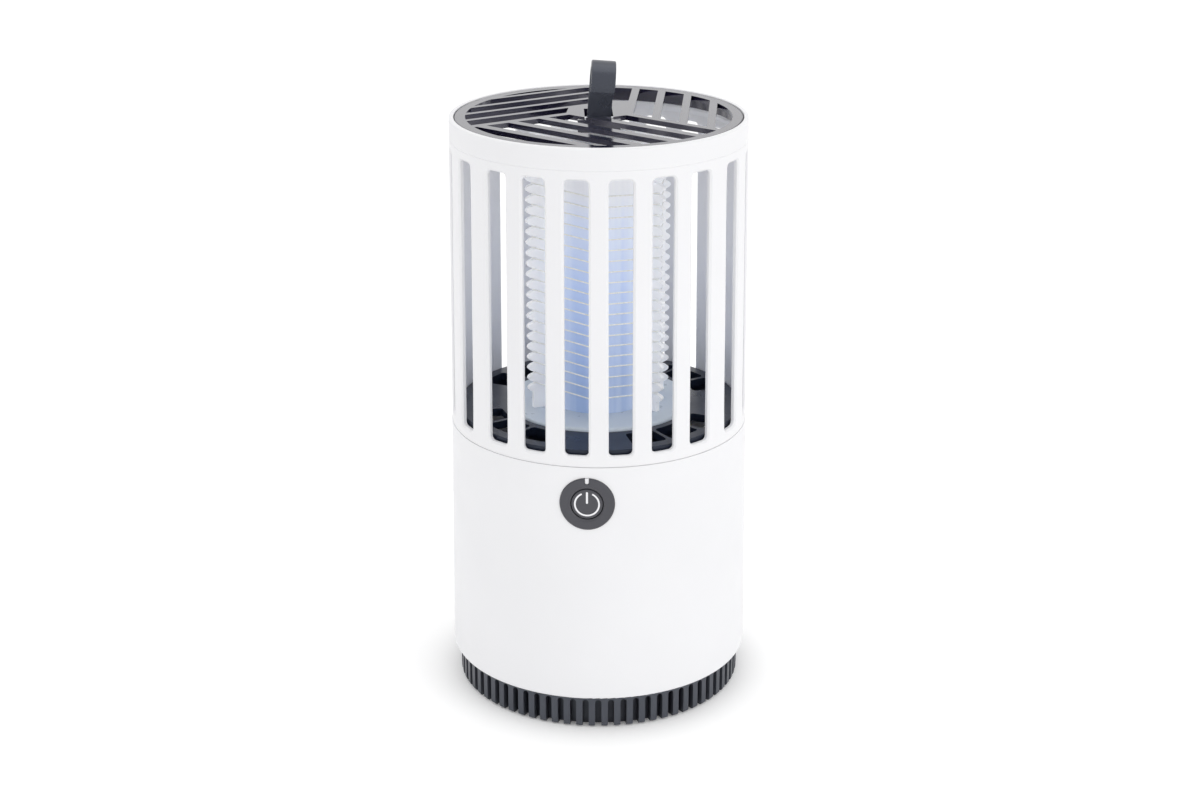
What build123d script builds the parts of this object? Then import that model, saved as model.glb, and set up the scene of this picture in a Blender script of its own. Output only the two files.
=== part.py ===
from build123d import *
import os
from math import atan, atan2, cos, degrees, pi, radians, sin, sqrt, tan

# Rechargeable table bug zapper. +Z is up, z = 0 is the table, the axis of the round body is Z.
# The power button faces -Y and the charging port faces +Y. All sizes are in millimetres.

# ---- body ------------------------------------------------------------------
BODY_H = 209.3          # table to the cage's top rim
R_BOT, R_TOP = 54.0, 51.4   # outer radius at the housing's bottom edge and at the top rim
SKIRT_Z = 12.3          # bottom edge of the white housing
SEAM_Z = 99.7           # parting line between the housing and the cage
HOUSING_WALL, CAGE_WALL = 2.2, 1.7
SEAM_STEP = 0.2         # the cage is this much smaller than the housing at the seam
SEAM_GAP, SEAM_ROUND = 0.1, 0.15

# ---- cage slots ------------------------------------------------------------
SLOT_W, SLOT_Z0, SLOT_Z1, SLOT_R = 8.2, 103.6, 198.6, 1.6
SLOT_BEVEL = 0.65
BAR_AZ = 4.3            # azimuth of the front bar's middle, degrees from -Y towards +X
CLOSE_PITCH, SIDE_PITCH = 16.5, 19.33   # six slots in front and behind, four wider-set on each side

# ---- top grille and hook ---------------------------------------------------
GRILLE_R, GRILLE_T, GRILLE_DEEP = 49.5, 1.7, 4.9
GRILLE_TOP = BODY_H - 0.3
RIM_R = 0.925 * GRILLE_R
HUB_Y0, HUB_Y1, HUB_HALF = -4.0, 10.0, 4.9
HOOK_W, HOOK_T, HOOK_R = 8.2, 2.4, 6.5
HOOK_Y, HOOK_PIVOT_Z = -1.3, 207.7
HOOK_TOP_Z, HOOK_TIP_Z = 229.2, 219.4
HOOK_YAW, HOOK_LEAN = 6.0, 4.2
PIN_R = 1.0

# ---- killing grid ----------------------------------------------------------
DECK_Z = 105.0          # top face of the drop ring
DISC_R, DISC_Z0, DISC_Z1 = 32.6, 103.0, 106.0
TUBE_R, TUBE_WALL, TOWER_Z1 = 17.4, 1.0, 197.0
POSTS, POST_AZ, POST_T = 6, -1.0, 1.8
POST_R0, POST_R1, TOOTH_R = 19.6, 24.2, 27.5
WIRE_R, WIRE_HEX = 0.25, 25.3
WIRE_PITCH, WIRE_Z0, WIRE_COUNT = 3.8, 114.2, 22   # two windings lie between one another
WIRE_STEP = 2 * WIRE_PITCH / POSTS
WIRE_APOTHEM = WIRE_HEX * cos(pi / 6)

# ---- button ----------------------------------------------------------------
BTN_Z, BEZEL_R, DISH_R, CAP_R, CAP_BORE = 86.6, 9.4, 6.9, 5.4, 5.7
BTN_TRAVEL = 0.8

# ---- base ------------------------------------------------------------------
RIBS, RIB_R, GROOVE_R, GROOVE_W, RIB_AZ = 72, 51.6, 48.6, 2.2, 1.6
TRAY_Z0, TRAY_TOP, ARCH_Z, FOOT_R, FOOT_T = 0.4, 12.0, 10.9, 4.5, 1.6
CASE_R, CASE_WALL, CASE_Z0, CASE_Z1 = 30.0, 1.8, 30.0, 100.5
USB_Z = 38.5


def body_r(z):
    """Outer radius of the drafted body at height z."""
    return R_BOT + (R_TOP - R_BOT) * (z - SKIRT_Z) / (BODY_H - SKIRT_Z)


def cage_r(z):
    return body_r(z) - SEAM_STEP * (BODY_H - z) / (BODY_H - SEAM_Z)


def at(az, r, z=0.0):
    """Point at azimuth az (degrees from -Y towards +X), radius r."""
    return (r * sin(radians(az)), -r * cos(radians(az)), z)


def radial(az, r, z):
    """Plane facing outwards at azimuth az: local x runs round the body, local y runs up."""
    a = radians(az)
    return Plane(origin=at(az, r, z), x_dir=(cos(a), sin(a), 0), z_dir=(sin(a), -cos(a), 0))


def turned(points, rounds=None):
    """Solid of revolution from (r, z) points; rounds maps a point's place to a fillet radius."""
    face = make_face(Polyline(*points, close=True))
    for i, size in (rounds or {}).items():
        spot = Vector(points[i][0], points[i][1], 0)
        face = fillet(face.vertices().sort_by_distance(spot)[0], size)
    return revolve(Plane.XZ * face, Axis.Z)


def ring(r0, r1, z0, z1):
    return turned([(r0, z0), (r1, z0), (r1, z1), (r0, z1)])


def rod(r, z0, z1, x=0.0, y=0.0):
    return Pos(x, y, (z0 + z1) / 2) * Cylinder(r, z1 - z0)


def block(x0, x1, y0, y1, z0, z1):
    return Pos((x0 + x1) / 2, (y0 + y1) / 2, (z0 + z1) / 2) * Box(x1 - x0, y1 - y0, z1 - z0)


def along_y(r, y0, y1, x=0.0, z=BTN_Z):
    return Pos(x, (y0 + y1) / 2, z) * (Rot(90, 0, 0) * Cylinder(r, y1 - y0))


def drum(r_in, r_out, z=BTN_Z, half=16.0):
    """Piece of a ring about Z, used to give a part the body's curve round height z."""
    return ring(r_in, r_out, z - half, z + half)


# ---------------------------------------------------------------- cage
def cage():
    z0, z1 = SEAM_Z + SEAM_GAP, BODY_H
    crease = 201.8
    shell = turned([
        (cage_r(z0) - CAGE_WALL, z0), (cage_r(z0), z0),
        (cage_r(crease - 0.25), crease - 0.25), (cage_r(crease) - 0.15, crease),
        (cage_r(crease + 0.25), crease + 0.25), (R_TOP, z1),
        (R_TOP - 1.6, z1), (R_TOP - 1.6, 204.0), (48.3, 204.0), (48.3, 203.0),
        (cage_r(200.9) - CAGE_WALL, 201.0),
    ], {1: SEAM_ROUND, 5: 0.6, 6: 0.3})
    shell = Rot(0, 0, BAR_AZ) * shell   # seam edge in the middle of a bar
    height, middle = SLOT_Z1 - SLOT_Z0, (SLOT_Z0 + SLOT_Z1) / 2
    slot = RectangleRounded(SLOT_W, height, SLOT_R)
    shell -= [extrude(radial(az, 44, middle) * slot, 14) for az in slot_azimuths()]
    rims = [e for e in shell.edges() if on_slot_rim(e)]
    return chamfer(rims, SLOT_BEVEL)


def slot_azimuths():
    close = [(k + 0.5) * CLOSE_PITCH for k in range(3)]
    side = [90 + (k - 1.5) * SIDE_PITCH for k in range(4)]
    half = close + side + [180 - a for a in close]
    return [BAR_AZ + turn * a for a in half for turn in (-1, 1)]


def on_slot_rim(edge):
    """True for the outer edges of the slots: they lie on the cage's outside, between the slots' ends."""
    points = [edge @ t for t in (0, 0.5, 1)]
    return all(SLOT_Z0 - 1 < p.Z < SLOT_Z1 + 1 and abs(sqrt(p.X**2 + p.Y**2) - cage_r(p.Z)) < 0.02 for p in points)


# ---------------------------------------------------------------- lower housing
def lower_housing():
    lip_r = cage_r(SEAM_Z) - CAGE_WALL - 0.3
    shell = turned([
        (49.3, SKIRT_Z), (R_BOT, SKIRT_Z), (body_r(SEAM_Z), SEAM_Z), (lip_r, SEAM_Z),
        (lip_r, 102.0), (48.6, 102.0), (48.6, 96.5), (body_r(93) - HOUSING_WALL, 93.0),
        (body_r(16) - HOUSING_WALL, 16.0), (49.3, 16.0),
    ], {1: 1.2, 2: SEAM_ROUND})
    # catches above the lock ring
    for az in (60, 180, 300):
        shell += radial(az, 51.4, 21.2) * Box(7, 1.4, 1.6)
    # seat, bore and light-pipe hole of the button bezel
    wall = body_r(BTN_Z)
    shell -= along_y(BEZEL_R + 0.1, -58, -40) & drum(wall - 1.1, wall + 3)
    shell -= along_y(7.6, -58, -40)
    shell -= block(-0.75, 0.75, -58, -40, BTN_Z + 7.3, BTN_Z + 9.5)
    # charging port: shallow outside pocket and the hole through the wall
    pocket = extrude(Pos(0, 60, USB_Z) * (Rot(90, 0, 0) * RectangleRounded(14, 8, 2.2)), 20)
    shell -= pocket & ring(body_r(USB_Z) - 0.8, 60, USB_Z - 8, USB_Z + 8)
    shell -= extrude(Pos(0, 60, USB_Z) * (Rot(90, 0, 0) * RectangleRounded(9.8, 4.2, 2.0)), 20)
    return shell


# ---------------------------------------------------------------- top grille
def half_plane(normal_az, offset, cx=0.0, cy=0.0):
    """Large sketch covering all points whose distance along the normal is over the offset."""
    n = radians(normal_az)
    mid = offset + 200
    return Pos(cx + mid * cos(n), cy + mid * sin(n), 0) * (Rot(0, 0, normal_az) * Rectangle(400, 400))


def grille_slots():
    """Three fields of parallel slots that run into one another like a pinwheel.

    A field's slots lie across its normal, counted outwards from the pinwheel's centre. They end at
    the bar that starts the next field, and each field's first slot ends earlier, at the hub.
    """
    u = GRILLE_R
    cy = 0.13 * u
    fields = [
        # normal, near edge, pitch, slot width, end line's normal and offset, first slot's end line
        (0.0, 0.040, 0.193, 0.137, (56.0, 0.057), (90.0, 0.34)),
        (126.0, 0.070, 0.177, 0.131, (180.0, 0.030), (180.0, 0.23)),
        (236.0, 0.000, 0.228, 0.158, (306.0, -0.008), (306.0, 0.215)),
    ]
    slots = []
    for normal, near, pitch, width, end, hub_end in fields:
        n = radians(normal)
        for k in range(5):
            middle = (near + pitch * k + width / 2) * u
            strip = Pos(middle * cos(n), cy + middle * sin(n)) * (Rot(0, 0, normal) * Rectangle(width * u, 300))
            line = hub_end if k == 0 else end
            shape = (strip & half_plane(line[0], line[1] * u, 0, cy)) & Circle(RIM_R)
            slots += [face for face in shape.faces() if face.area > 6.0]
    return slots


def top_grille():
    plate = turned([
        (0, GRILLE_TOP - GRILLE_T), (GRILLE_R, GRILLE_TOP - GRILLE_T), (GRILLE_R, GRILLE_TOP), (0, GRILLE_TOP),
    ], {2: 0.35})
    for face in grille_slots():
        plate -= extrude(Pos(0, 0, GRILLE_TOP - 3) * face, 6)
    base = GRILLE_TOP - GRILLE_DEEP
    plate += ring(GRILLE_R - 1.6, GRILLE_R, base, GRILLE_TOP - 1.0)
    # hub box with the pocket that holds the hook
    hub = Rot(0, 0, HOOK_YAW) * block(-7.3, 7.3, HUB_Y0 - 1.8, HUB_Y1 + 1.8, base, GRILLE_TOP - 0.5)
    pocket = Rot(0, 0, HOOK_YAW) * block(-HUB_HALF, HUB_HALF, HUB_Y0, HUB_Y1, base + 1.2, GRILLE_TOP + 1)
    return plate + hub - pocket - hook_pin(0.0, 0.02)


def hook_pin(cap=0.0, grow=0.0):
    pin = Rot(0, 90, 0) * Cylinder(PIN_R + grow, 13.6 + 2 * cap)
    return Rot(0, 0, HOOK_YAW) * (Pos(0, HOOK_Y, HOOK_PIVOT_Z) * pin)


def hanging_hook():
    """Flat strip that rises from the pin and curls over towards the front."""
    ro, ri = HOOK_R + HOOK_T / 2, HOOK_R - HOOK_T / 2
    zc, yc = HOOK_TOP_Z - ro, HOOK_Y - HOOK_R
    arch = Circle(ro) - Circle(ri) - Pos(0, -20) * Rectangle(60, 40)
    strip = Pos(yc, zc) * arch
    foot = HOOK_PIVOT_Z
    strip += Pos(HOOK_Y, (foot + zc) / 2) * Rectangle(HOOK_T, zc - foot)
    strip += Pos(HOOK_Y, foot) * Circle(1.9)
    tip_y = yc - HOOK_R
    strip += Pos(tip_y, (HOOK_TIP_Z + zc) / 2) * Rectangle(HOOK_T, zc - HOOK_TIP_Z)
    solid = extrude(Plane.YZ * strip, HOOK_W / 2, both=True)
    solid = fillet(solid.edges().filter_by(Axis.X).group_by(Axis.Y)[0], 0.5)
    side = [e for e in solid.edges() if abs(abs(e.center().X) - HOOK_W / 2) < 0.01]
    solid = chamfer(side, 0.3)
    leaned = Pos(0, HOOK_Y, foot) * (Rot(0, HOOK_LEAN, 0) * (Pos(0, -HOOK_Y, -foot) * solid))
    bore = Pos(0, HOOK_Y, foot) * (Rot(0, 90, 0) * Cylinder(PIN_R + 0.3, 30))
    return Rot(0, 0, HOOK_YAW) * (leaned - bore)


# ---------------------------------------------------------------- deck and grid tower
def sector(r0, r1, a0, a1, corner):
    """Ring sector between two math angles, with rounded corners."""
    def p(r, a):
        return (r * cos(radians(a)), r * sin(radians(a)))
    mid = (a0 + a1) / 2
    edges = [
        Line(p(r0, a0), p(r1, a0)), ThreePointArc(p(r1, a0), p(r1, mid), p(r1, a1)),
        Line(p(r1, a1), p(r0, a1)), ThreePointArc(p(r0, a1), p(r0, mid), p(r0, a0)),
    ]
    return fillet(make_face(edges).vertices(), corner)


def drop_ring():
    plate = turned([
        (0, 100.5), (34.6, 100.5), (34.6, 102.2), (46.8, 102.2), (46.8, 98.0), (48.2, 98.0),
        (48.2, 102.0), (50.2, 102.0), (50.2, DECK_Z), (DISC_R + 0.4, DECK_Z),
        (DISC_R + 0.4, DISC_Z0), (0, DISC_Z0),
    ], {8: 0.4})
    for quarter in range(4):
        for k in range(3):
            a0 = 90 * quarter + 19 + 18 * k
            hole = sector(35.6, 46.0, a0, a0 + 16, 1.3)
            plate -= extrude(Pos(0, 0, 101) * hole, 6)
    for x, y in case_screw_spots():
        plate -= rod(1.5, 99, 104, x, y) + rod(2.7, DISC_Z0 - 1.4, 104, x, y)
    return plate - wire_holes(0.7, 99, 104)


def wire_holes(r, z0, z1, azimuths=(150, 210)):
    """Holes for the windings' straight ends, in the middle of two rear faces of the hexagon."""
    return [rod(r, z0, z1, *at(POST_AZ + az, WIRE_APOTHEM)[:2]) for az in azimuths]


def tower_disc():
    disc = turned([
        (0, DISC_Z0), (DISC_R, DISC_Z0), (DISC_R, DISC_Z1), (16.1, DISC_Z1), (16.1, DISC_Z1 + 1.6),
        (14.6, DISC_Z1 + 1.6), (14.6, DISC_Z1), (0, DISC_Z1),
    ], {1: 0.6, 2: 1.2})
    disc -= block(-6.4, 6.4, -1.2, 1.2, DISC_Z0 - 1, DISC_Z1 + 1)
    return disc - wire_holes(0.7, 102, 108)


def groove_z(k):
    """Height of the lowest wire on post k; the two windings fall as they go round."""
    turn = {0: 0.0, 1: 0.0, 2: 0.0, 3: WIRE_PITCH, 4: 2 * WIRE_PITCH, 5: 2 * WIRE_PITCH}[k]
    return WIRE_Z0 - WIRE_STEP * k + turn


def comb_posts():
    """Six toothed posts; each groove between two teeth carries one turn of wire."""
    posts = []
    for k in range(POSTS):
        z = groove_z(k)
        side = Pos((POST_R0 + POST_R1) / 2, (DISC_Z1 + TOWER_Z1) / 2) * Rectangle(
            POST_R1 - POST_R0, TOWER_Z1 - DISC_Z1)
        foot_top = z - WIRE_PITCH + 0.4
        side += Pos((POST_R0 + 25.6) / 2, (DISC_Z1 + foot_top) / 2) * Rectangle(
            25.6 - POST_R0, foot_top - DISC_Z1)
        for n in range(-1, WIRE_COUNT + 1):
            middle = z + WIRE_PITCH * (n + 0.5)
            if middle + 1.6 < TOWER_Z1:
                side += Pos(POST_R1, middle) * Ellipse(TOOTH_R - POST_R1, 1.55)
        az = POST_AZ + 60 * k
        plane = Plane(origin=(0, 0, 0), x_dir=at(az, 1), z_dir=(-cos(radians(az)), -sin(radians(az)), 0))
        post = extrude(plane * side, POST_T / 2, both=True)
        posts.append(post)
    return posts


def tower_cap():
    cap = turned([
        (0, TOWER_Z1 - 1.6), (16.1, TOWER_Z1 - 1.6), (16.1, TOWER_Z1), (28.8, TOWER_Z1),
        (28.8, TOWER_Z1 + 2.8), (0, TOWER_Z1 + 2.8),
    ], {3: 0.5, 4: 1.0})
    cap -= block(-6.4, 6.4, -1.2, 1.2, TOWER_Z1 - 3, TOWER_Z1 - 0.6)
    return cap - wire_holes(0.5, TOWER_Z1 - 2, TOWER_Z1 + 1.4, (90, 150))


def hv_wire(last, z_last):
    """One winding, from the cap down round the posts to post `last`, then down through the deck."""
    turns = 10 * POSTS
    top = at(POST_AZ + 60 * (last - turns) - 30, WIRE_APOTHEM, z_last + WIRE_STEP * (turns + 0.5))
    low = at(POST_AZ + 60 * last + 30, WIRE_APOTHEM, z_last - WIRE_STEP / 2)
    path = [(top[0], top[1], TOWER_Z1 + 0.9), top]
    for i in range(turns, -1, -1):
        path.append(at(POST_AZ + 60 * (last - i), WIRE_HEX, z_last + WIRE_STEP * i))
    path += [low, (low[0], low[1], 98.0)]
    section = Plane(origin=path[0], z_dir=(0, 0, -1)) * Circle(WIRE_R)
    return sweep(section, path=Polyline(*path), transition=Transition.RIGHT)


def diffuser_tube():
    return ring(TUBE_R - TUBE_WALL, TUBE_R, DISC_Z1, TOWER_Z1)


def led_board():
    return block(-6, 6, -0.8, 0.8, DISC_Z0 + 0.1, 192)


def led_chips():
    chips = []
    for k in range(6):
        z = 118 + 13 * k
        for side in (-1, 1):
            y0, y1 = sorted((side * 0.8, side * 1.7))
            chips.append(block(-1.6, 1.6, y0, y1, z - 1.4, z + 1.4))
    return chips


# ---------------------------------------------------------------- button group
def button_bezel():
    wall = body_r(BTN_Z)
    flange = along_y(BEZEL_R, -58, -40) & drum(wall - 1.1, wall + 0.55)
    flange = chamfer([e for e in flange.edges() if e.center().Y < -wall + 1.2 and e.length > 20][-1:], 0.3)
    spigot = along_y(7.45, -wall + 1.6, -48.6)
    bezel = flange + spigot - along_y(CAP_BORE, -60, -40)
    dish = Pos(0, -wall - 0.5, BTN_Z) * (Rot(90, 0, 0) * Cone(CAP_BORE - 0.01, DISH_R + 0.4, 0.9))
    bezel -= dish
    notch = block(-0.75, 0.75, -58, -40, BTN_Z + 8.05, BTN_Z + 12) + along_y(0.75, -58, -40, 0, BTN_Z + 8.05)
    return bezel - notch


def indicator_light_pipe():
    wall = body_r(BTN_Z + 8.7)
    bar = block(-0.65, 0.65, -58, -42.4, BTN_Z + 8.05, BTN_Z + 9.35)
    bar += along_y(0.65, -58, -42.4, 0, BTN_Z + 8.05)
    return bar & drum(30, wall + 0.4)


def power_button():
    wall = body_r(BTN_Z)
    cap = along_y(CAP_R, -wall - 0.25, -48.4)
    cap = fillet(cap.edges().filter_by(GeomType.CIRCLE).sort_by(Axis.Y)[0], 0.35)
    cap += along_y(6.7, -48.4, -47.4) + along_y(1.5, -47.4, -45.7)
    return cap - power_symbol_shape(-wall - 1.0, -wall + 0.05)


def power_symbol_shape(y0, y1):
    """Open ring with a bar: the usual stand-by sign."""
    arc = Circle(4.42) - Circle(3.84)
    wedge = make_face(Polyline((0, 0), (3.1, 6.5), (-3.1, 6.5), close=True))
    sign = (arc - wedge) + Pos(0, 2.35) * RectangleRounded(0.7, 4.3, 0.34)
    plane = Plane(origin=(0, y1, BTN_Z), x_dir=(1, 0, 0), z_dir=(0, -1, 0))
    return extrude(plane * sign, y1 - y0)


def power_symbol():
    wall = body_r(BTN_Z)
    return power_symbol_shape(-wall - 0.25, -wall + 0.05)


def switch_plunger():
    return along_y(1.5, -45.7, -43.6)


def tact_switch():
    body = block(-3.2, 3.2, -44.6, -41.0, BTN_Z - 3.2, BTN_Z + 3.2)
    body = chamfer(body.edges().filter_by(Axis.Y), 0.4)
    return body - along_y(1.65, -46, -42.2)


def switch_board():
    return block(-11.3, 11.3, -41.0, -39.8, 77.0, 96.4)


def indicator_led():
    return block(-0.9, 0.9, -42.1, -41.0, BTN_Z + 7.6, BTN_Z + 9.4)


# ---------------------------------------------------------------- electronics case
def case_screw_spots():
    return [at(az, 25.0)[:2] for az in (45, 135, 225, 315)]


def electronics_case():
    case = turned([
        (0, CASE_Z0), (CASE_R, CASE_Z0), (CASE_R, CASE_Z1), (CASE_R - CASE_WALL, CASE_Z1),
        (CASE_R - CASE_WALL, CASE_Z0 + 2), (0, CASE_Z0 + 2),
    ], {1: 1.5})
    # front duct for the switch board, rear duct for the port board
    case += block(-13.5, 13.5, -46.4, -27, 73.5, 97.7) - rod(29, 60, 105)
    case -= block(-12, 12, -60, -26, 75, 96.6)
    case += block(-10, 10, 27, 49.6, 31.5, 46.0) - rod(29, 20, 60)
    case -= block(-8.5, 8.5, 26, 60, 33, 44.5)
    for s in (-1, 1):
        # rails for the switch board, the main board and the port board
        for y0, y1 in ((-42.3, -41.15), (-39.65, -38.5)):
            case += block(min(s * 10.4, s * 12.4), max(s * 10.4, s * 12.4), y0, y1, 74.5, 97.0)
        for y0, y1 in ((-9.4, -8.1), (-6.3, -5.0)):
            case += block(min(s * 21.4, s * 27.6), max(s * 21.4, s * 27.6), y0, y1, 31.5, 92)
        case += block(min(s * 6.0, s * 8.9), max(s * 6.0, s * 8.9), 31.0, 49.4, 32.5, 35.5)
    for x, y in case_screw_spots():
        post = rod(3.7, 86, CASE_Z1, x, y) - rod(1.25, 88, 120, x, y)
        case += post & rod(CASE_R - 0.5, 80, 110)
        case -= rod(1.25, 88, 120, x, y)
    return case


def case_screws():
    screws = []
    for x, y in case_screw_spots():
        screw = rod(2.4, DISC_Z0 - 1.35, DISC_Z0 - 0.05, x, y) + rod(1.2, 92, DISC_Z0 - 1, x, y)
        screw -= Pos(x, y, DISC_Z0) * (Box(2.6, 0.6, 1.2) + Box(0.6, 2.6, 1.2))
        screws.append(screw)
    return screws


def main_board():
    return block(-22.6, 22.6, -8.0, -6.4, 32.2, 90)


def hv_transformer():
    core = block(-9, 9, -23.0, -9.2, 42, 57) - block(-6.5, 6.5, -24, -8, 44.4, 54.6)
    coil = Pos(0, -15.9, 49.5) * (Rot(90, 0, 0) * Cylinder(5.0, 14.6))
    return core + coil + block(-7.5, 7.5, -9.4, -8.0, 43, 56) + block(-9, 9, -17.6, -14.4, 44, 55)


def film_capacitors():
    out = []
    for x in (-14.8, 14.8):
        cap = block(x - 3, x + 3, -19.0, -8.0, 62, 75)
        out.append(fillet(cap.edges().filter_by(Axis.Z), 1.2))
    return out


def bulk_capacitor():
    can = along_y(4.0, -20.5, -8.0, 0, 68)
    return fillet(can.edges().filter_by(GeomType.CIRCLE).sort_by(Axis.Y)[0], 0.6)


def board_chips():
    return [
        block(-14.5, -9.5, -6.4, -4.9, 78, 82), block(13.5, 17.5, -9.5, -8.0, 80, 86),
        block(-17.5, -13.5, -9.5, -8.0, 80, 86),
    ]


def battery_cell():
    cell = rod(9.1, 32.1, 97.4, 0, 8.2)
    cell = fillet(cell.edges().filter_by(GeomType.CIRCLE), 0.8)
    return cell + rod(2.8, 97.0, 98.4, 0, 8.2)


def usb_board():
    return block(-8.3, 8.3, 31.0, 50.6, 35.5, 36.7)


def usb_port():
    outer = RectangleRounded(9.0, 3.3, 1.6)
    inner = RectangleRounded(8.3, 2.6, 1.25)
    place = Pos(0, 52.7, USB_Z) * Rot(90, 0, 0)
    shell = extrude(place * outer, 7.6) - extrude(place * inner, 6.3)
    tongue = block(-3.35, 3.35, 46.0, 51.9, USB_Z - 0.35, USB_Z + 0.35)
    return shell + tongue + block(-3.6, 3.6, 45.1, 46.3, 36.7, USB_Z)


# ---------------------------------------------------------------- base
def base_lock_ring():
    lock = turned([(48.95, 16.3), (51.2, 16.3), (51.2, 20.1), (48.95, 20.1)])
    for az in (0, 120, 240):
        lock += radial(az, 48.4, 18.2) * Box(6.0, 3.6, 1.8)
    return lock


def catch_tray():
    """Ribbed grip ring, floor and rising collar in one moulding."""
    tray = turned([
        (0, TRAY_Z0), (RIB_R, TRAY_Z0), (RIB_R, TRAY_TOP), (48.6, TRAY_TOP), (48.6, 24.0), (46.6, 24.0),
        (46.6, 4.6), (44.8, 2.8), (0, 2.8),
    ], {1: 0.9, 4: 0.4, 5: 0.4})
    # grooves between the grip ribs: open below, arched above
    cuts = []
    arch = ARCH_Z - GROOVE_W / 2
    for i in range(RIBS):
        az = RIB_AZ + (i + 0.5) * 360 / RIBS
        face = Pos(0, (arch - 6) / 2) * Rectangle(GROOVE_W, arch + 6) + Pos(0, arch) * Circle(GROOVE_W / 2)
        cuts.append(extrude(radial(az, GROOVE_R, 0) * face, 6))
    tray -= cuts
    # open-topped slots that take the lock ring's keys
    for az in (0, 120, 240):
        tray -= radial(az, 48.0, 21.0) * Box(6.6, 12.0, 6.0)
    for x, y in foot_spots():
        tray -= rod(FOOT_R + 0.05, 0, FOOT_T, x, y)
    return tray


def foot_spots():
    return [at(az, 38.0)[:2] for az in (45, 135, 225, 315)]


def rubber_feet():
    feet = []
    for x, y in foot_spots():
        pad = rod(FOOT_R, 0, FOOT_T, x, y)
        feet.append(chamfer(pad.edges().sort_by(Axis.Z)[0], 0.25))
    return feet


PIECES = {
    "lower_housing": lower_housing, "cage": cage, "top_grille": top_grille,
    "hook_pin": lambda: hook_pin(), "hanging_hook": hanging_hook, "drop_ring": drop_ring,
    "tower_disc": tower_disc, "comb_posts": comb_posts, "tower_cap": tower_cap,
    "hv_wire_a": lambda: hv_wire(2, groove_z(2)), "hv_wire_b": lambda: hv_wire(3, groove_z(3)),
    "diffuser_tube": diffuser_tube, "led_board": led_board, "led_chips": led_chips,
    "button_bezel": button_bezel, "indicator_light_pipe": indicator_light_pipe,
    "power_button": power_button, "power_symbol": power_symbol, "switch_plunger": switch_plunger,
    "tact_switch": tact_switch, "switch_board": switch_board, "indicator_led": indicator_led,
    "electronics_case": electronics_case, "case_screws": case_screws, "main_board": main_board,
    "hv_transformer": hv_transformer, "film_capacitors": film_capacitors,
    "bulk_capacitor": bulk_capacitor, "board_chips": board_chips, "battery_cell": battery_cell,
    "usb_board": usb_board, "usb_port": usb_port, "base_lock_ring": base_lock_ring,
    "catch_tray": catch_tray, "rubber_feet": rubber_feet,
}

os.makedirs("parts", exist_ok=True)
for name, make in PIECES.items():
    made = make()
    solids = [s for item in (made if isinstance(made, list) else [made]) for s in item.solids()]
    shape = solids[0] if len(solids) == 1 else Compound(children=solids)
    shape.label = name
    export_step(shape, f"parts/{name}.step")
    print(f"{name}: {len(solids)} solid(s), {sum(s.volume for s in solids) / 1000:.2f} cm3")
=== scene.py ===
from math import cos, radians, sin

import bpy
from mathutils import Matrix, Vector


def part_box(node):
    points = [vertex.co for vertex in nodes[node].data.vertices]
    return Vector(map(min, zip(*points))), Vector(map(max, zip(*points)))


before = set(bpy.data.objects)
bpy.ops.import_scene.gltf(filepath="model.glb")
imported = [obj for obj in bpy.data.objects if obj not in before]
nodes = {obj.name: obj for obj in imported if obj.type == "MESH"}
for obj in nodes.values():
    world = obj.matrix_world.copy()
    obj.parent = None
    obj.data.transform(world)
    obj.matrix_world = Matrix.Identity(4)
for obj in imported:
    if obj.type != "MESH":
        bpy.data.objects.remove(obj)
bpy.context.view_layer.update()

scene = bpy.context.scene

# camera, in metres and degrees; azimuth runs from -Y towards +X
AZIMUTH, ELEVATION, DISTANCE = radians(4.3), radians(20.28), 0.742
AIM_HEIGHT, AIM_RIGHT, LENS = 0.10473, 0.00043, 61.75

# colours, linear RGB
WHITE = (0.78, 0.78, 0.795)
# the colour for the housing's inside is painted shade
INSIDE_PAINTED_SHADE = (0.013, 0.016, 0.028)
# the groove colour is painted shade in the grip's grooves
GROOVE_PAINTED_SHADE, RIB_GREY = (0.008, 0.009, 0.015), (0.050, 0.054, 0.066)
NAVY_GLOSS = (0.85, 0.90, 1.0)

# all surfaces: the range that noise mostly stays in
NOISE_LOW, NOISE_HIGH = 0.35, 0.65
IOR_CLEAR = 1.49   # acrylic

# moulded surfaces: noise scales per metre, bump distances in metres
FLOW_SCALE, FLOW_DEPTH, FLOW_STRETCH = 55.0, 0.00006, (1.0, 1.0, 0.12)
GRAIN_SCALE, GRAIN_DEPTH = 2600.0, 0.00004
CLOUD_SCALE, PATCH_SCALE = 22.0, 60.0
SKIN_RADIUS = (0.9, 0.9, 1.0)   # how far light spreads in the white plastic, per colour
SKIN_DEPTH = 0.002
WHITE_SKIN, WHITE_ROUGH, WHITE_SPREAD = 0.12, 0.42, 0.012

# brushed metal
BRUSH_SCALE, BRUSH_STRETCH = 900.0, (1.0, 1.0, 0.05)

# frosted surfaces
MILK, MILK_RADIUS, MILK_DEPTH = 0.35, (0.8, 0.9, 1.0), 0.004

# stage, in metres and watts
FLOOR_SIZE, FLOOR_GLOW = 6.0, 0.07
KEY_PLACE, KEY_AIM_Z, KEY_SIZE, KEY_POWER = (0.85, -0.60, 0.55), 0.11, 0.6, 1.5
TOP_PLACE, TOP_AIM_Z, TOP_SIZE, TOP_POWER = (0.0, 0.1, 1.2), 0.10, 0.9, 1.6

SHADE_R0, SHADE_R1 = 0.0500, 0.0503        # the housing's painted inside shade ends between these radii
GROOVE_IN, GROOVE_OUT = 0.0026, 0.0003     # painted shade darkens the grip between these depths under the ribs' tops
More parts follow.
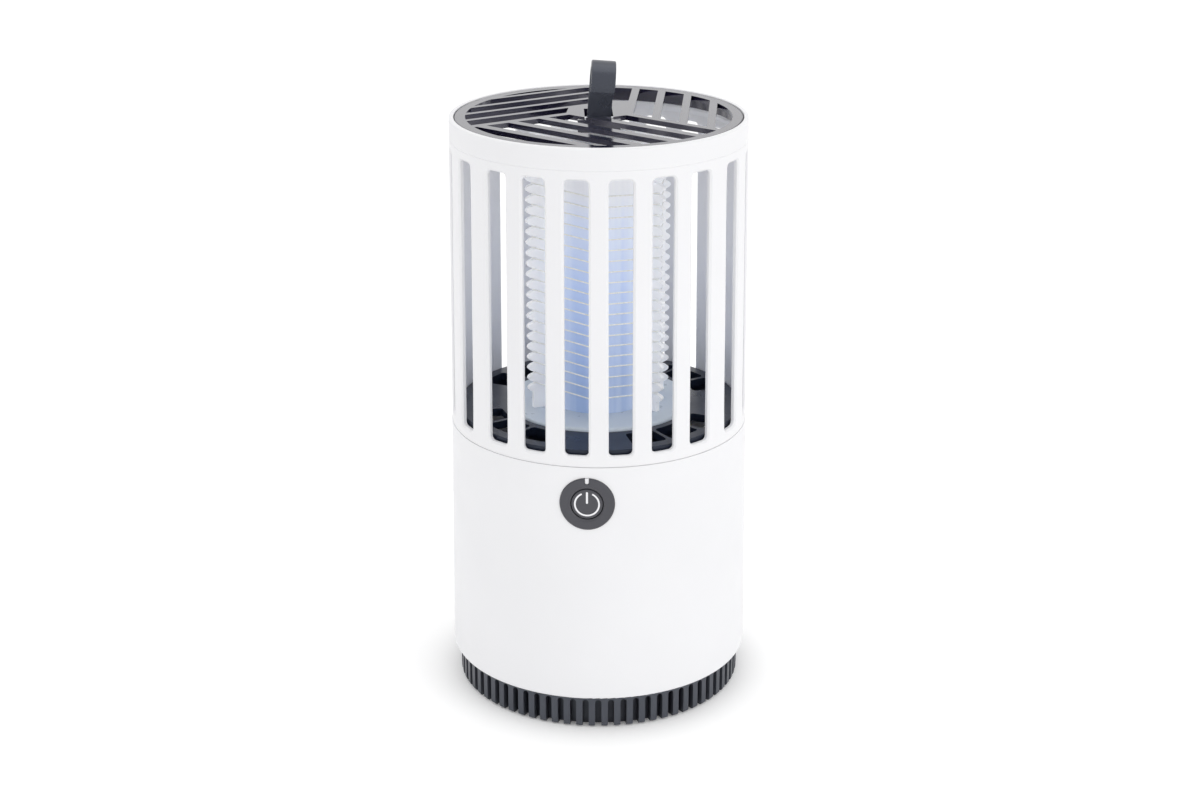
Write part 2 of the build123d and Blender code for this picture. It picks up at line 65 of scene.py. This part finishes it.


# ------------------------------------------------------------------ node helpers
class Graph:
    """A material's node tree with short ways to add and join nodes."""

    def __init__(self, name):
        self.mat = bpy.data.materials.new(name)
        self.mat.use_nodes = True
        self.tree = self.mat.node_tree
        self.bsdf = self.tree.nodes["Principled BSDF"]
        self.coord = self.add("ShaderNodeTexCoord").outputs["Object"]

    def add(self, kind, **inputs):
        """New node; the named inputs are set to values."""
        node = self.tree.nodes.new(kind)
        for key, value in inputs.items():
            key = key.replace("_", " ")
            node.inputs[key].default_value = value
        return node

    def link(self, source, target):
        """Join an output socket to an input socket."""
        self.tree.links.new(source, target)

    def noise(self, scale, detail=3.0, rough=0.5, stretch=None):
        """Noise in object coordinates, scale per metre; stretch under 1 draws it out along that axis."""
        coord = self.coord
        if stretch:
            mapping = self.add("ShaderNodeMapping", Scale=stretch)
            self.link(coord, mapping.inputs["Vector"])
            coord = mapping.outputs["Vector"]
        node = self.add("ShaderNodeTexNoise", Scale=scale, Detail=detail, Roughness=rough)
        self.link(coord, node.inputs["Vector"])
        return node.outputs["Fac"]

    def ramp(self, source, stops):
        """Colour ramp from (place, colour) stops."""
        node = self.add("ShaderNodeValToRGB")
        self.link(source, node.inputs["Fac"])
        elements = node.color_ramp.elements
        for i, (place, colour) in enumerate(stops):
            element = elements[i] if i < 2 else elements.new(place)
            element.position = place
            element.color = (*colour, 1.0)
        return node.outputs["Color"]

    def span(self, source, low, high, from_low=NOISE_LOW, from_high=NOISE_HIGH):
        """source brought from its own range to low..high; the usual range is that of noise."""
        node = self.add("ShaderNodeMapRange")
        self.link(source, node.inputs["Value"])
        node.inputs["From Min"].default_value = from_low
        node.inputs["From Max"].default_value = from_high
        node.inputs["To Min"].default_value = low
        node.inputs["To Max"].default_value = high
        return node.outputs["Result"]

    def radius(self):
        """Distance from the Z axis, in metres."""
        flat = self.add("ShaderNodeVectorMath")
        flat.operation = "MULTIPLY"
        self.link(self.coord, flat.inputs[0])
        flat.inputs[1].default_value = (1, 1, 0)
        length = self.add("ShaderNodeVectorMath")
        length.operation = "LENGTH"
        self.link(flat.outputs["Vector"], length.inputs[0])
        return length.outputs["Value"]

    def bump(self, *layers):
        """layers are (height, strength, distance in metres), stacked."""
        normal = None
        for height, strength, distance in layers:
            node = self.add("ShaderNodeBump", Strength=strength, Distance=distance)
            self.link(height, node.inputs["Height"])
            if normal:
                self.link(normal, node.inputs["Normal"])
            normal = node.outputs["Normal"]
        self.link(normal, self.bsdf.inputs["Normal"])

    def put(self, **values):
        """Set sockets of the Principled shader."""
        for key, value in values.items():
            self.bsdf.inputs[key.replace("_", " ")].default_value = value


def tint(colour, gain):
    """The colour times gain, kept under 1."""
    return tuple(min(1.0, c * gain) for c in colour)


def cloudy(g, colour, spread):
    """Colour that drifts by the given share either way."""
    cloud = g.noise(CLOUD_SCALE, 4.0, 0.55)
    return g.ramp(cloud, [(0.3, tint(colour, 1 - spread)), (0.7, tint(colour, 1 + spread))])


def mould_skin(g, rough, grain=GRAIN_DEPTH):
    """Uneven gloss, flow lines and spark-eroded grain, as every moulded surface has."""
    g.link(g.span(g.noise(PATCH_SCALE, 5.0, 0.6), rough * 0.82, rough * 1.2), g.bsdf.inputs["Roughness"])
    flow = g.noise(FLOW_SCALE, 3.0, 0.5, stretch=FLOW_STRETCH)
    g.bump((flow, 0.25, FLOW_DEPTH), (g.noise(GRAIN_SCALE, 2.0, 0.6), 0.35, grain))


def moulded(name, colour, rough, grain=GRAIN_DEPTH, spread=0.05, gloss=0.5,
            gloss_tint=(1, 1, 1), coat=0.0, sss=0.0):
    """Moulded plastic in one colour."""
    g = Graph(name)
    g.link(cloudy(g, colour, spread), g.bsdf.inputs["Base Color"])
    mould_skin(g, rough, grain)
    g.put(Specular_IOR_Level=gloss, Specular_Tint=(*gloss_tint, 1), Coat_Weight=coat, Coat_Roughness=0.15)
    if sss:
        g.put(Subsurface_Weight=sss, Subsurface_Radius=SKIN_RADIUS, Subsurface_Scale=SKIN_DEPTH)
    return g.mat


def frosted(name, colour, rough, glow):
    """Clear plastic frosted until it only passes scattered light, which glow stands for."""
    g = Graph(name)
    cloud = g.noise(45.0, 4.0, 0.6)
    milky = g.ramp(cloud, [(0.3, tint(colour, 0.94)), (0.7, tint(colour, 1.05))])
    g.link(milky, g.bsdf.inputs["Base Color"])
    g.link(g.span(g.noise(180.0, 3.0, 0.6), rough * 0.8, rough * 1.25), g.bsdf.inputs["Roughness"])
    g.bump((g.noise(1500.0, 2.0, 0.6), 0.3, 0.00003))
    g.put(IOR=IOR_CLEAR, Emission_Strength=glow, Emission_Color=(*colour, 1))
    g.put(Subsurface_Weight=MILK, Subsurface_Radius=MILK_RADIUS, Subsurface_Scale=MILK_DEPTH)
    return g.mat


def metal(name, colour, rough, metallic=1.0):
    """Brushed metal; metallic is lower where a dull coating hides part of its shine."""
    g = Graph(name)
    brushed = g.noise(BRUSH_SCALE, 3.0, 0.6, stretch=BRUSH_STRETCH)
    worn = g.ramp(brushed, [(0.3, tint(colour, 0.85)), (0.7, tint(colour, 1.08))])
    g.link(worn, g.bsdf.inputs["Base Color"])
    g.link(g.span(brushed, rough * 0.8, rough * 1.3), g.bsdf.inputs["Roughness"])
    g.bump((brushed, 0.15, 0.00002))
    g.put(Metallic=metallic)
    return g.mat


def tube_material():
    """Diffuser tube: pale grey at the top, blue below, with soft vertical streaks of painted reflection
    and a painted glow.
    """
    g = Graph("diffuser_blue")
    low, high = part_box("diffuser_tube")
    split = g.add("ShaderNodeSeparateXYZ")
    g.link(g.coord, split.inputs["Vector"])
    height = g.span(split.outputs["Z"], 0.0, 1.0, low.z, high.z)
    hue = g.ramp(height, [
        (0.0, (0.29, 0.39, 0.60)), (0.20, (0.31, 0.42, 0.67)), (0.50, (0.41, 0.51, 0.74)),
        (0.76, (0.55, 0.61, 0.75)), (0.88, (0.66, 0.67, 0.71)), (1.0, (0.69, 0.69, 0.71)),
    ])
    # the pale vertical streaks are painted reflection, screened over the blue
    streak = g.noise(130.0, 3.0, 0.5, stretch=(1.0, 1.0, 0.02))
    light = g.ramp(streak, [(0.40, (0.0, 0.0, 0.0)), (0.64, (0.30, 0.30, 0.28))])
    mix = g.add("ShaderNodeMix")
    mix.data_type = "RGBA"
    mix.blend_type = "SCREEN"
    mix.inputs["Factor"].default_value = 1.0
    g.link(hue, mix.inputs["A"])
    g.link(light, mix.inputs["B"])
    g.link(mix.outputs["Result"], g.bsdf.inputs["Base Color"])
    g.link(mix.outputs["Result"], g.bsdf.inputs["Emission Color"])
    # the emission is painted glow; the tube is no lamp
    g.put(Emission_Strength=0.30, Roughness=0.28, Transmission_Weight=0.05, IOR=IOR_CLEAR)
    g.bump((g.noise(1200.0, 2.0, 0.6), 0.2, 0.00002))
    return g.mat


def grip_grey():
    """Base plastic: painted shade makes the grooves between the grip ribs darker than the rib tops."""
    g = Graph("base_grey")
    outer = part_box("catch_tray")[1].x
    depth = g.span(g.radius(), 0.0, 1.0, outer - GROOVE_IN, outer - GROOVE_OUT)
    g.link(g.ramp(depth, [(0.0, GROOVE_PAINTED_SHADE), (1.0, RIB_GREY)]), g.bsdf.inputs["Base Color"])
    mould_skin(g, 0.39)
    g.put(Specular_Tint=(*NAVY_GLOSS, 1))
    return g.mat


def housing_white():
    """The white shell plastic, with painted shade on the housing's inside."""
    g = Graph("housing_white")
    outside = cloudy(g, WHITE, WHITE_SPREAD)
    # mask: 0 on the housing's inside, where the painted shade goes, 1 on the outside
    white = g.span(g.radius(), 0.0, 1.0, SHADE_R0, SHADE_R1)
    mix = g.add("ShaderNodeMix")
    mix.data_type = "RGBA"
    g.link(white, mix.inputs["Factor"])
    mix.inputs["A"].default_value = (*INSIDE_PAINTED_SHADE, 1)
    g.link(outside, mix.inputs["B"])
    g.link(mix.outputs["Result"], g.bsdf.inputs["Base Color"])
    g.link(g.span(white, 0.0, WHITE_SKIN, 0.0, 1.0), g.bsdf.inputs["Subsurface Weight"])
    mould_skin(g, WHITE_ROUGH)
    g.put(Subsurface_Radius=SKIN_RADIUS, Subsurface_Scale=SKIN_DEPTH)
    return g.mat


def board(name, colour, trace):
    """Circuit board: solder mask with thin copper tracks showing through and a faint weave."""
    g = Graph(name)
    brick = g.add("ShaderNodeTexBrick", Scale=260.0)
    brick.inputs["Color1"].default_value = (*colour, 1)
    brick.inputs["Color2"].default_value = (*tint(colour, 0.85), 1)
    brick.inputs["Mortar"].default_value = (*trace, 1)
    brick.inputs["Mortar Size"].default_value = 0.03
    g.link(g.coord, brick.inputs["Vector"])
    g.link(brick.outputs["Color"], g.bsdf.inputs["Base Color"])
    g.link(g.span(g.noise(300.0), 0.25, 0.45), g.bsdf.inputs["Roughness"])
    g.bump((g.noise(3500.0, 1.0), 0.2, 0.00002))
    return g.mat


# ------------------------------------------------------------------ materials
materials = {
    "shell_white": moulded("shell_white", WHITE, WHITE_ROUGH, spread=WHITE_SPREAD, sss=WHITE_SKIN),
    "housing_white": housing_white(),
    "grille_black": moulded("grille_black", (0.007, 0.006, 0.020), 0.12, 0.00001, gloss=0.80,
                            gloss_tint=(0.92, 0.90, 1.0), coat=0.45),
    "hook_grey": moulded("hook_grey", (0.011, 0.013, 0.024), 0.30, gloss=0.95, gloss_tint=NAVY_GLOSS),
    "deck_black": moulded("deck_black", (0.010, 0.014, 0.027), 0.30, gloss=0.4, gloss_tint=NAVY_GLOSS),
    "base_grey": grip_grey(),
    "button_grey": moulded("button_grey", (0.050, 0.050, 0.060), 0.34),
    "symbol_white": moulded("symbol_white", (0.80, 0.80, 0.82), 0.40, spread=0.01),
    "frosted_clear": frosted("frosted_clear", (0.92, 0.93, 0.97), 0.40, glow=0.10),
    "frosted_disc": frosted("frosted_disc", (0.55, 0.61, 0.68), 0.34, glow=0.05),
    "grid_wire": metal("grid_wire", (0.96, 0.96, 0.90), 0.50, metallic=0.45),
    "steel": metal("steel", (0.62, 0.63, 0.66), 0.28),
    "rubber": moulded("rubber", (0.022, 0.022, 0.024), 0.75, 0.00008),
    # painted shade: the case is near-black so the view down the drop holes reads as shaded
    "case_grey": moulded("case_grey", (0.030, 0.033, 0.040), 0.50, spread=0.03),
    "part_black": moulded("part_black", (0.025, 0.025, 0.027), 0.55),
    "film_yellow": moulded("film_yellow", (0.62, 0.36, 0.05), 0.35, spread=0.12, coat=0.3),
    "sleeve_blue": moulded("sleeve_blue", (0.03, 0.06, 0.18), 0.25, spread=0.08, coat=0.5),
    "led_lens": moulded("led_lens", (0.80, 0.74, 0.35), 0.15, coat=1.0),
    "board_green": board("board_green", (0.02, 0.14, 0.06), (0.20, 0.30, 0.10)),
    "board_white": board("board_white", (0.75, 0.75, 0.73), (0.60, 0.58, 0.50)),
    "diffuser_blue": tube_material(),
}
finish_of = {
    "lower_housing": "housing_white", "cage": "shell_white", "top_grille": "grille_black",
    "hook_pin": "steel", "hanging_hook": "hook_grey", "drop_ring": "deck_black",
    "tower_disc": "frosted_disc", "comb_posts": "frosted_clear", "tower_cap": "frosted_clear",
    "hv_wire_a": "grid_wire", "hv_wire_b": "grid_wire", "diffuser_tube": "diffuser_blue",
    "led_board": "board_white", "led_chips": "led_lens", "button_bezel": "button_grey",
    "indicator_light_pipe": "symbol_white", "power_button": "button_grey",
    "power_symbol": "symbol_white", "switch_plunger": "part_black", "tact_switch": "part_black",
    "switch_board": "board_green", "indicator_led": "led_lens", "electronics_case": "case_grey",
    "case_screws": "steel", "main_board": "board_green", "hv_transformer": "film_yellow",
    "film_capacitors": "film_yellow", "bulk_capacitor": "sleeve_blue", "board_chips": "part_black",
    "battery_cell": "sleeve_blue", "usb_board": "board_green", "usb_port": "steel",
    "base_lock_ring": "base_grey", "catch_tray": "base_grey", "rubber_feet": "rubber",
}
for name, finish in finish_of.items():
    mesh = nodes[name].data
    mesh.materials.clear()
    mesh.materials.append(materials[finish])

# ------------------------------------------------------------------ stage, light and camera
bpy.ops.mesh.primitive_plane_add(size=FLOOR_SIZE, location=(0, 0, 0))
floor = bpy.context.object
floor.name = "floor"
g = Graph("floor_white")
paper = g.ramp(g.noise(3.0), [(0.3, (0.965, 0.965, 0.967)), (0.7, (0.98, 0.98, 0.98))])
g.link(paper, g.bsdf.inputs["Base Color"])
g.put(Roughness=0.8, Emission_Color=(1, 1, 1, 1), Emission_Strength=FLOOR_GLOW)
floor.data.materials.append(g.mat)

world = bpy.data.worlds.new("studio")
scene.world = world
world.use_nodes = True
backdrop = world.node_tree.nodes["Background"]
backdrop.inputs["Color"].default_value = (1, 1, 1, 1)
backdrop.inputs["Strength"].default_value = 1.0


def area(name, place, aim_z, size, power):
    """Soft square light at place, facing the object's axis at height aim_z."""
    light = bpy.data.lights.new(name, "AREA")
    light.shape = "SQUARE"
    light.size = size
    light.energy = power
    lamp = bpy.data.objects.new(name, light)
    scene.collection.objects.link(lamp)
    lamp.location = place
    lamp.rotation_euler = (Vector((0, 0, aim_z)) - Vector(place)).to_track_quat("-Z", "Y").to_euler()


area("key", KEY_PLACE, KEY_AIM_Z, KEY_SIZE, KEY_POWER)
area("top", TOP_PLACE, TOP_AIM_Z, TOP_SIZE, TOP_POWER)

right = Vector((cos(AZIMUTH), sin(AZIMUTH), 0))
aim = Vector((0, 0, AIM_HEIGHT)) + right * AIM_RIGHT
back = Vector((sin(AZIMUTH) * cos(ELEVATION), -cos(AZIMUTH) * cos(ELEVATION), sin(ELEVATION)))
camera_data = bpy.data.cameras.new("camera")
camera_data.lens = LENS
camera_data.sensor_width = 36.0
camera_data.clip_start = 0.01
camera = bpy.data.objects.new("camera", camera_data)
scene.collection.objects.link(camera)
camera.location = aim + back * DISTANCE
camera.rotation_euler = (-back).to_track_quat("-Z", "Y").to_euler()
scene.camera = camera
scene.view_settings.view_transform = "Standard"
